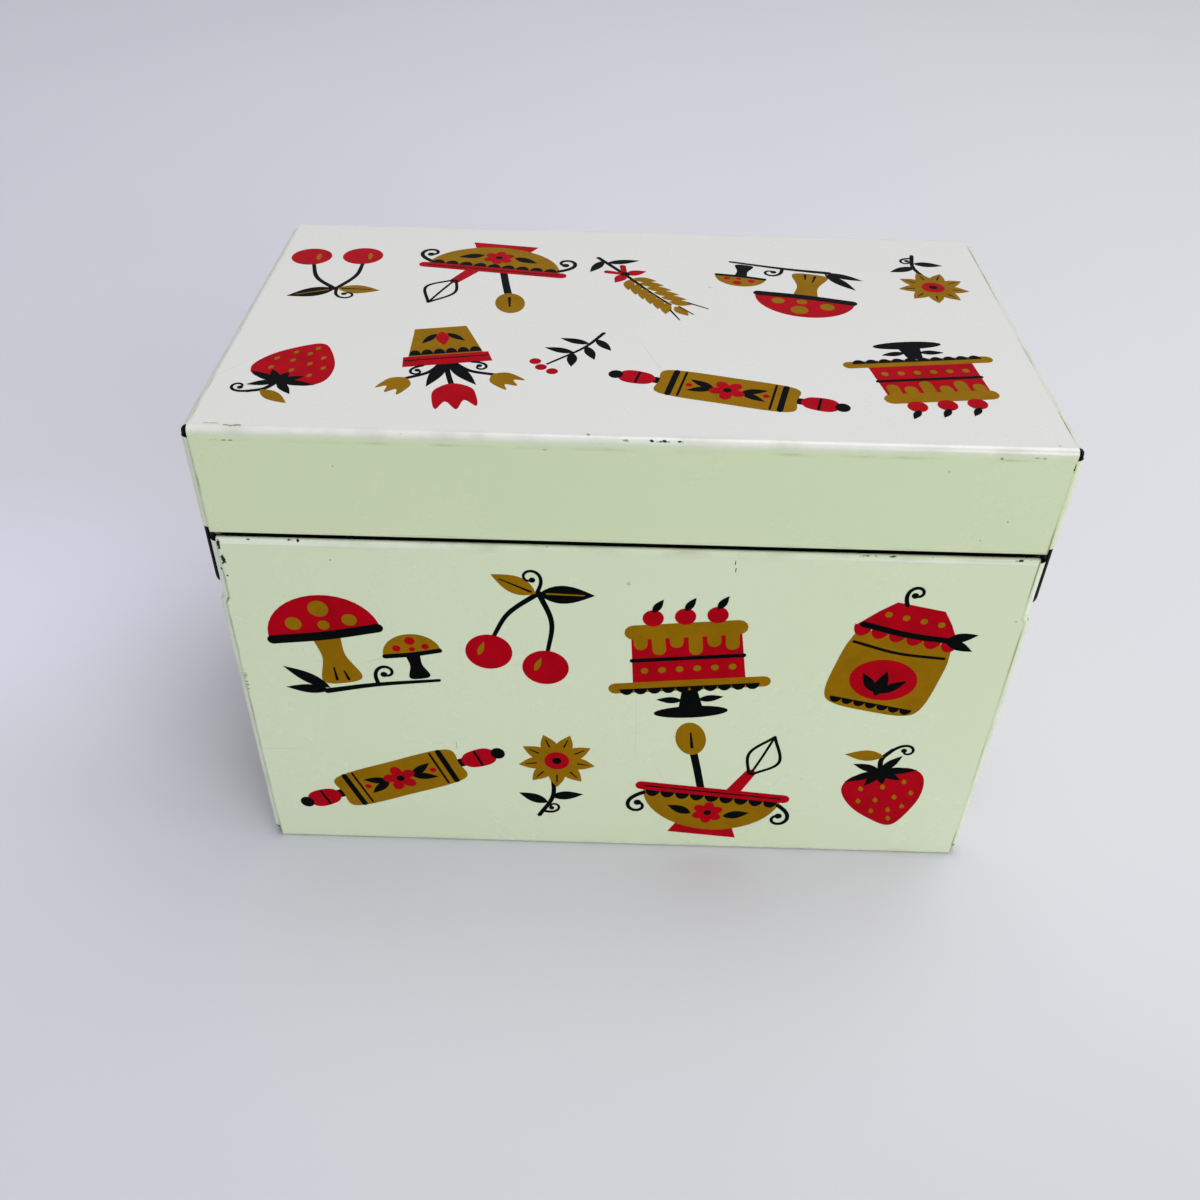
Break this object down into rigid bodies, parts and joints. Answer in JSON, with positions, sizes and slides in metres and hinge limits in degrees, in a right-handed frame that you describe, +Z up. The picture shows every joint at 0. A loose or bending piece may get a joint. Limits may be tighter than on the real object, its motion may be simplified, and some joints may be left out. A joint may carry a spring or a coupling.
{
  "type": "recipe card box",
  "caption": "Tinplate box for recipe cards: folded body with a stepped neck and a deep-skirted lid that swings back on side pivot rivets.",
  "frame": {"origin": "centre of the box in plan, on the surface that it rests on", "axes": "+X to the right along the width, +Y from the front to the hinge side, +Z up"},
  "size_m": [0.1366, 0.0786, 0.0936],
  "materials": {
    "body_enamel": "glossy printed enamel, pale green-white, lightly scuffed",
    "lid_enamel": "glossy printed enamel, white top and pale green skirts, lightly scuffed",
    "rivet_steel": "plain steel, slightly dulled"
  },
  "bodies": {
    "body": {"body_wrapper": "body_enamel", "body_end_left": "body_enamel", "body_end_right": "body_enamel", "pivot_rivet_left": "rivet_steel", "pivot_rivet_right": "rivet_steel"},
    "lid": {"lid_wrapper": "lid_enamel", "lid_end_left": "lid_enamel", "lid_end_right": "lid_enamel"}
  },
  "joints": [
    {"name": "lid_hinge", "type": "hinge", "parent": "body", "child": "lid", "pos_m": [0, 0.0333, 0.0671], "axis": [-1, 0, 0], "range_deg": [0, 98]}
  ]
}
